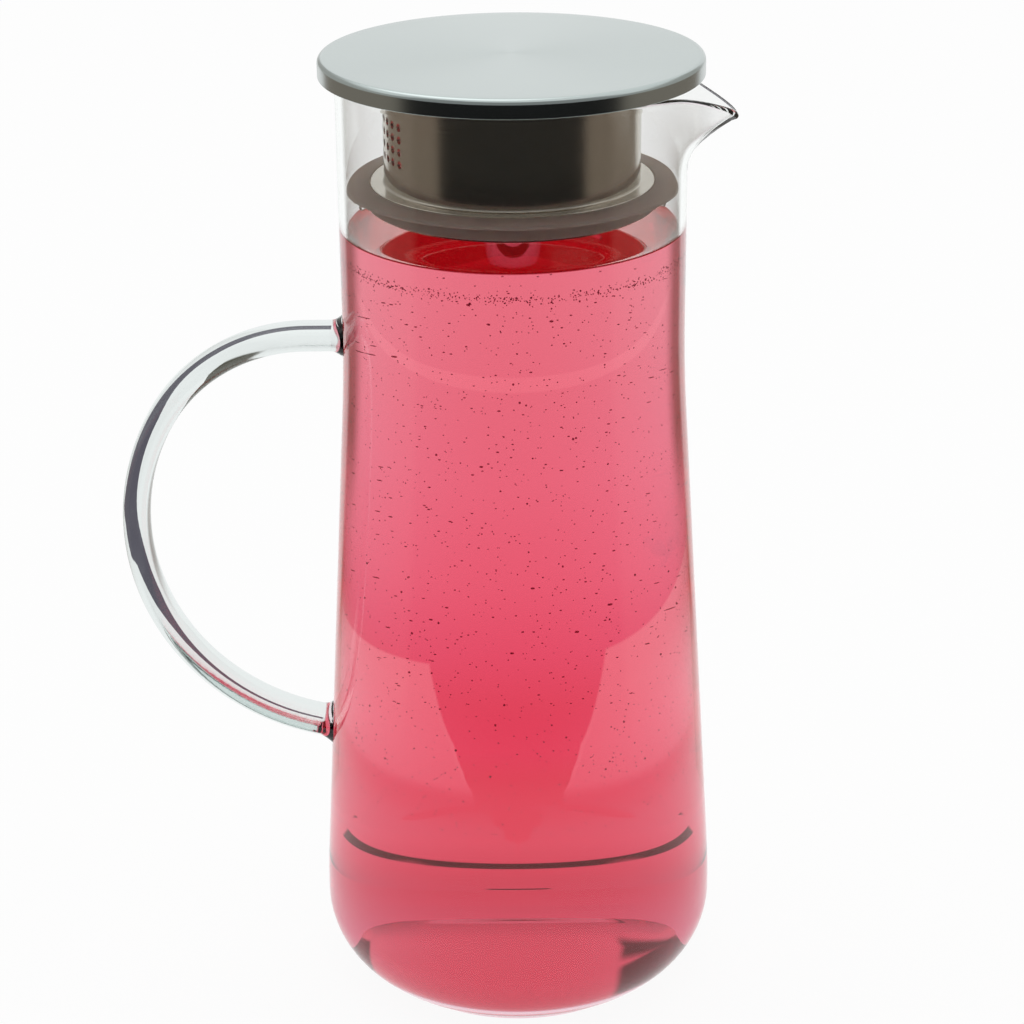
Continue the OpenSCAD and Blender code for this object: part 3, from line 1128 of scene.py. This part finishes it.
class JUG_OT_stage(bpy.types.Operator):
    """Lays the floor and sets the soft light and the camera"""

    bl_idname = "jug.stage"
    bl_label = "Stage"

    def execute(self, context):
        settings = context.scene.jug_stage
        scene = context.scene
        clear_selection()
        bpy.ops.mesh.primitive_circle_add(
            vertices=96, radius=6, fill_type="NGON", location=(0, 0, -0.0004)
        )
        floor = bpy.context.object
        floor.name = "stage_floor"
        floor.data.materials.append(self.floor_material())
        self.surroundings(scene, settings)
        clear_selection()
        bpy.ops.object.light_add(type="AREA", location=LAMP_PLACE)
        lamp = bpy.context.object
        lamp.name = "overhead_lamp"
        lamp.data.shape = "DISK"
        lamp.data.size = LAMP_WIDTH
        lamp.data.energy = settings.lamp
        aim = Vector(LAMP_AIM) - lamp.location
        lamp.rotation_mode = "QUATERNION"
        lamp.rotation_quaternion = aim.to_track_quat("-Z", "Y")
        self.camera(scene, settings)
        scene.view_settings.view_transform = "Standard"
        scene.cycles.max_bounces = 20
        scene.cycles.transmission_bounces = 18
        scene.cycles.glossy_bounces = 8
        scene.cycles.transparent_max_bounces = 24
        return {"FINISHED"}

    def floor_material(self):
        """Floor that is white to the eye. Glass and steel find a white table, and dim ground round it."""
        material = new_material("pale_floor")
        material.cycles.emission_sampling = "NONE"
        tree = material.node_tree
        x, y = place_of(tree)[:2]
        light = add_node(tree, "ShaderNodeLightPath")
        reach = distance(tree, x, y)
        near = ramp(tree, reach, *TABLE_EDGE)
        turn = math_node(tree, "ABSOLUTE", math_node(tree, "ARCTAN2", x, y))
        table = math_node(tree, "MAXIMUM", near, ramp(tree, turn, *TABLE_SIDE))
        in_front = ramp(tree, turn, *GROUND_FRONT)
        ground = blend_colours(tree, in_front, SIDE_COLOUR, FRONT_COLOUR)
        mirrored_floor = blend_colours(tree, table, ground, WHITE)
        passed = light.outputs["Transmission Depth"]
        through_body = math_node(tree, "GREATER_THAN", passed, BODY_PASSES)
        # Painted shade in the handle: a dark patch on the floor that only rays through its rod find
        rod_shade = self.patch(tree, self.band(tree, x, *ROD_SHADE_X), self.band(tree, y, *ROD_SHADE_Y))
        rod_shade = self.patch(tree, rod_shade, math_node(tree, "COMPARE", passed, ROD_PASSES))
        plain = blend_colours(tree, rod_shade, WHITE, ROD_SHADE_COLOUR)
        top = blend_colours(tree, through_body, plain, self.tinted_shadow(tree, x, y, reach))
        wedge = self.patch(tree, ramp(tree, turn, *WEDGE_FIRST), ramp(tree, turn, *WEDGE_LAST))
        wedge = self.patch(tree, wedge, math_node(tree, "SUBTRACT", 1.0, near))
        seen_floor = blend_colours(tree, wedge, top, WEDGE_COLOUR)
        found = blend_colours(tree, clear_view(tree, light), mirrored_floor, seen_floor)
        to_camera = light.outputs["Is Camera Ray"]
        colour = blend_colours(tree, to_camera, found, WHITE)
        seen = math_node(tree, "MULTIPLY", to_camera, 0.94)
        mirrored = math_node(
            tree, "MAXIMUM", light.outputs["Is Glossy Ray"], light.outputs["Is Transmission Ray"]
        )
        glow = add_node(tree, "ShaderNodeEmission", {"Color": colour}, Strength=1.0)
        matt = add_node(tree, "ShaderNodeBsdfDiffuse", Color=(0.97, 0.97, 0.97, 1))
        mixed = mix_shaders(tree, math_node(tree, "MAXIMUM", seen, mirrored), matt, glow)
        output(tree, mixed.outputs["Shader"])
        return material

    def tinted_shadow(self, tree, x, y, reach):
        """The drink's red shadow, painted on the table behind the jug, as the glass and drink show it."""
        aside = math_node(tree, "ABSOLUTE", x)
        widest = 50
        width = self.steps_along(tree, y, [(z, (w / widest,) * 3) for z, w in SHADOW_WIDTH])
        width = math_node(tree, "MULTIPLY", width, widest * MM)
        inwards = math_node(tree, "SUBTRACT", width, aside)
        tongue = math_node(tree, "DIVIDE", inwards, math_node(tree, "MAXIMUM", width, 0.0003))
        far = distance(tree, math_node(tree, "ADD", x, 0.03), y)
        far = math_node(tree, "SUBTRACT", far, SHADOW_REACH * MM)
        shape = math_node(tree, "MAXIMUM", tongue, math_node(tree, "MULTIPLY", far, 25.0))
        inside = ramp(tree, shape, -0.03, 0.03)
        rim = self.patch(tree, ramp(tree, shape, -0.14, -0.05), ramp(tree, shape, 0.04, -0.04))
        rim = self.patch(tree, rim, ramp(tree, y, 0.103, 0.118, 0.0, 0.4))
        deep = self.steps_along(tree, reach, SHADOW_DEEP)
        pale = self.steps_along(tree, reach, SHADOW_PALE)
        shade = blend_colours(tree, inside, pale, deep)
        shade = blend_colours(tree, rim, shade, WHITE)
        # A pale line painted across the painted shadow
        line = self.patch(tree, self.band(tree, y, *PALE_LINE), ramp(tree, aside, *PALE_LINE_END))
        shade = blend_colours(tree, math_node(tree, "MULTIPLY", line, 0.9), shade, WHITE)
        # Dark lines painted across the painted shadow, which show through the base
        for across, end, colour in (
            (BASE_LINE, BASE_LINE_END, BASE_LINE_COLOUR),
            (SHORT_LINE, SHORT_LINE_END, SHORT_LINE_COLOUR),
        ):
            line = self.patch(tree, self.band(tree, y, *across), ramp(tree, aside, *end))
            shade = blend_colours(tree, line, shade, colour)
        return shade

    def patch(self, tree, first, second):
        """One only where both are one."""
        return math_node(tree, "MULTIPLY", first, second)

    def band(self, tree, source, middle, half, soft):
        """One in a strip round the middle, fading over a soft edge."""
        away = math_node(tree, "ABSOLUTE", math_node(tree, "SUBTRACT", source, middle))
        return ramp(tree, away, half + soft, half)

    def steps_along(self, tree, source, steps):
        """Colours at given distances in millimetres, with even changes between them."""
        first, last = steps[0][0], steps[-1][0]
        share = math_node(tree, "SUBTRACT", source, first * MM)
        share = math_node(tree, "DIVIDE", share, (last - first) * MM, clamp=True)
        node = add_node(tree, "ShaderNodeValToRGB", {"Fac": share})
        for place, colour in steps[1:-1]:
            node.color_ramp.elements.new((place - first) / (last - first)).color = (*colour, 1)
        node.color_ramp.elements[0].color = (*steps[0][1], 1)
        node.color_ramp.elements[-1].color = (*steps[-1][1], 1)
        return node.outputs["Color"]

    def surroundings(self, scene, settings):
        """Soft white surroundings, dim low down beside and in front of the table, white to the eye."""
        world = bpy.data.worlds.new("soft_surroundings")
        world.use_nodes = True
        scene.world = world
        tree = world.node_tree
        tree.nodes.clear()
        coords = add_node(tree, "ShaderNodeTexCoord")
        way = add_node(tree, "ShaderNodeSeparateXYZ", {"Vector": coords.outputs["Generated"]})
        east, north, up = way.outputs
        turn = math_node(tree, "ARCTAN2", east, north)
        left = math_node(tree, "SUBTRACT", WALL_BEHIND[0], turn)
        right = math_node(tree, "SUBTRACT", turn, WALL_BEHIND[1])
        beside = ramp(tree, math_node(tree, "MAXIMUM", right, left), -0.02, 0.02)
        turn = math_node(tree, "ABSOLUTE", turn)
        in_front = ramp(tree, turn, *WALL_FRONT)
        edge = ramp(tree, turn, *SIDE_TOP)
        low = ramp(tree, math_node(tree, "SUBTRACT", up, edge), 0.015, -0.015)
        dim_side = math_node(tree, "MULTIPLY", beside, low)
        dim_front = math_node(tree, "MULTIPLY", in_front, ramp(tree, up, *FRONT_TOP))
        dim = math_node(tree, "MAXIMUM", dim_side, dim_front)
        light = add_node(tree, "ShaderNodeLightPath")
        lighting = math_node(tree, "GREATER_THAN", light.outputs["Diffuse Depth"], 0.5)
        front = blend_colours(tree, lighting, (0.33, 0.33, 0.33, 1), (0.02, 0.02, 0.02, 1))
        sides = blend_colours(tree, in_front, (0.5, 0.49, 0.47, 1), front)
        mirrored = blend_colours(tree, dim, WHITE, sides)
        corner = math_node(tree, "MULTIPLY", dim_side, ramp(tree, turn, *CORNER_END))
        seen = blend_colours(tree, corner, WHITE, (0.12, 0.11, 0.09, 1))
        found = blend_colours(tree, clear_view(tree, light), mirrored, seen)
        colour = blend_colours(tree, light.outputs["Is Camera Ray"], found, WHITE)
        background = add_node(
            tree, "ShaderNodeBackground", {"Color": colour}, Strength=settings.daylight
        )
        add_node(tree, "ShaderNodeOutputWorld", {"Surface": background.outputs["Background"]})

    def camera(self, scene, settings):
        clear_selection()
        bpy.ops.object.camera_add(location=CAMERA_PLACE)
        camera = bpy.context.object
        camera.name = "photo_camera"
        camera.data.sensor_width = 36
        camera.data.lens = settings.lens
        camera.data.shift_x = CAMERA_SHIFT
        aim = Vector(CAMERA_AIM) - camera.location
        roll = Quaternion((0, 0, 1), CAMERA_ROLL)
        camera.rotation_mode = "QUATERNION"
        camera.rotation_quaternion = aim.to_track_quat("-Z", "Y") @ roll
        scene.camera = camera


class JUG_PT_sidebar(bpy.types.Panel):
    """Lists the jug's pieces and their settings"""

    bl_label = "Jug"
    bl_idname = "JUG_PT_sidebar"
    bl_space_type = "VIEW_3D"
    bl_region_type = "UI"
    bl_category = "Jug"

    def draw(self, context):
        for name, kind in SETTINGS.items():
            box = self.layout.box()
            for key in kind.__annotations__:
                box.prop(getattr(context.scene, name), key)
        for operator in OPERATORS:
            self.layout.operator(operator.bl_idname)


SETTINGS = {
    "jug_glass": GlassSettings,
    "jug_drink": DrinkSettings,
    "jug_lid": LidSettings,
    "jug_stage": StageSettings,
}
OPERATORS = [
    JUG_OT_glass,
    JUG_OT_drink,
    JUG_OT_specks,
    JUG_OT_drops,
    JUG_OT_strainer,
    JUG_OT_seal,
    JUG_OT_cap,
    JUG_OT_stage,
]


def register():
    for cls in [*SETTINGS.values(), *OPERATORS, JUG_PT_sidebar]:
        bpy.utils.register_class(cls)
    for name, cls in SETTINGS.items():
        setattr(bpy.types.Scene, name, PointerProperty(type=cls))


def unregister():
    for name in SETTINGS:
        delattr(bpy.types.Scene, name)
    for cls in reversed([*SETTINGS.values(), *OPERATORS, JUG_PT_sidebar]):
        bpy.utils.unregister_class(cls)


def main():
    register()
    for operator in OPERATORS:
        group, name = operator.bl_idname.split(".")
        getattr(getattr(bpy.ops, group), name)()


if __name__ == "__main__":
    main()
